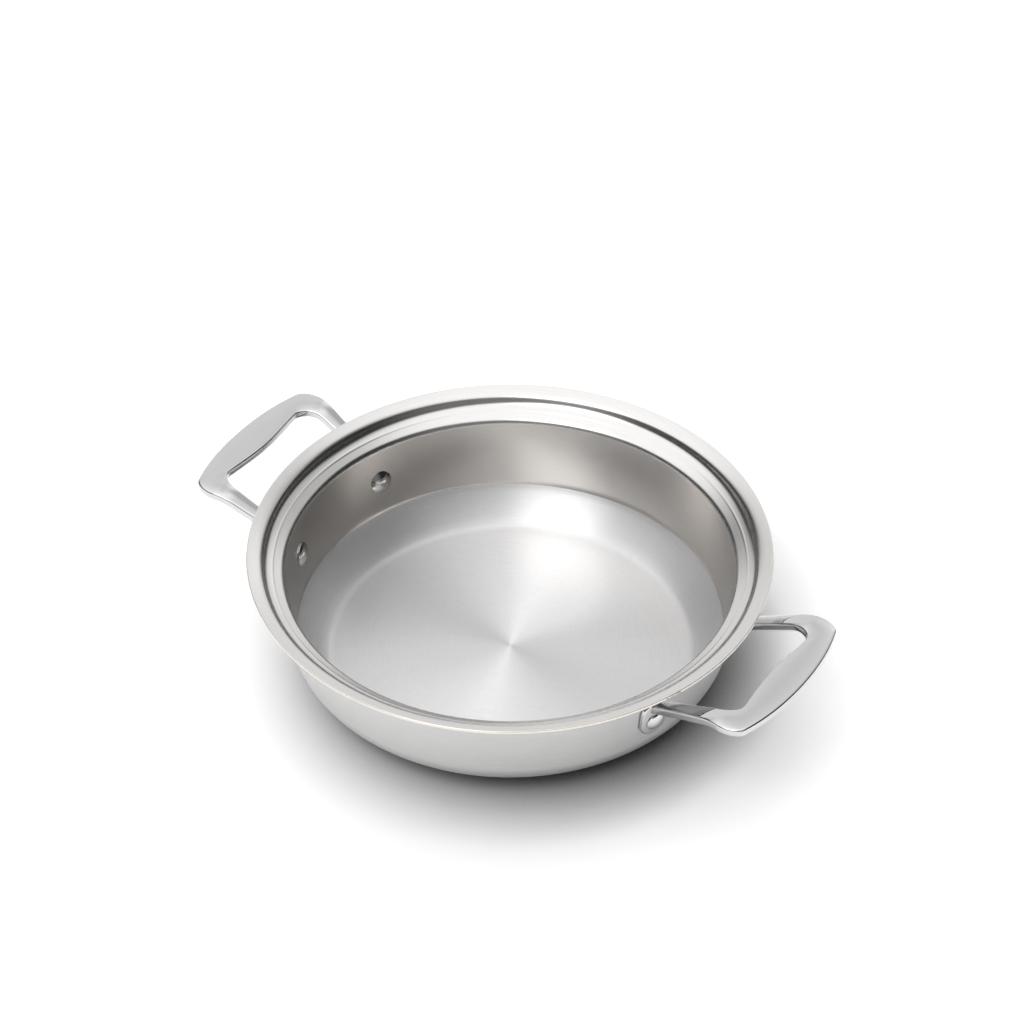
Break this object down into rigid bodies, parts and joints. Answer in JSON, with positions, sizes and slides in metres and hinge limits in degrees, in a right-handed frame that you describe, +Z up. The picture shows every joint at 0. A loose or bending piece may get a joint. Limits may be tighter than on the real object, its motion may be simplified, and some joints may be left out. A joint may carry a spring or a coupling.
{
  "type": "two-handled saucepan",
  "caption": "Shallow round saucepan of clad steel with a flared, stepped rim, a sloping heel and a cast loop handle riveted to each side.",
  "frame": {"origin": "centre of the flat underside, on the surface that the pan stands on", "axes": "+Z up along the pan's axis; X runs from handle to handle, +X towards handle_right; +Y is the far side in the picture"},
  "size_m": [0.3376, 0.26, 0.0673],
  "materials": {
    "inner_steel": "satin, brushed in circles",
    "core_aluminium": "matte",
    "outer_steel": "satin",
    "handle_steel": "polished",
    "rivet_steel": "mirror polished"
  },
  "bodies": {
    "root": {"inner_liner": "inner_steel", "aluminium_core": "core_aluminium", "outer_shell": "outer_steel", "handle_right": "handle_steel", "handle_left": "handle_steel", "rivet_right_near": "rivet_steel", "rivet_right_far": "rivet_steel", "rivet_left_near": "rivet_steel", "rivet_left_far": "rivet_steel"}
  },
  "joints": []
}
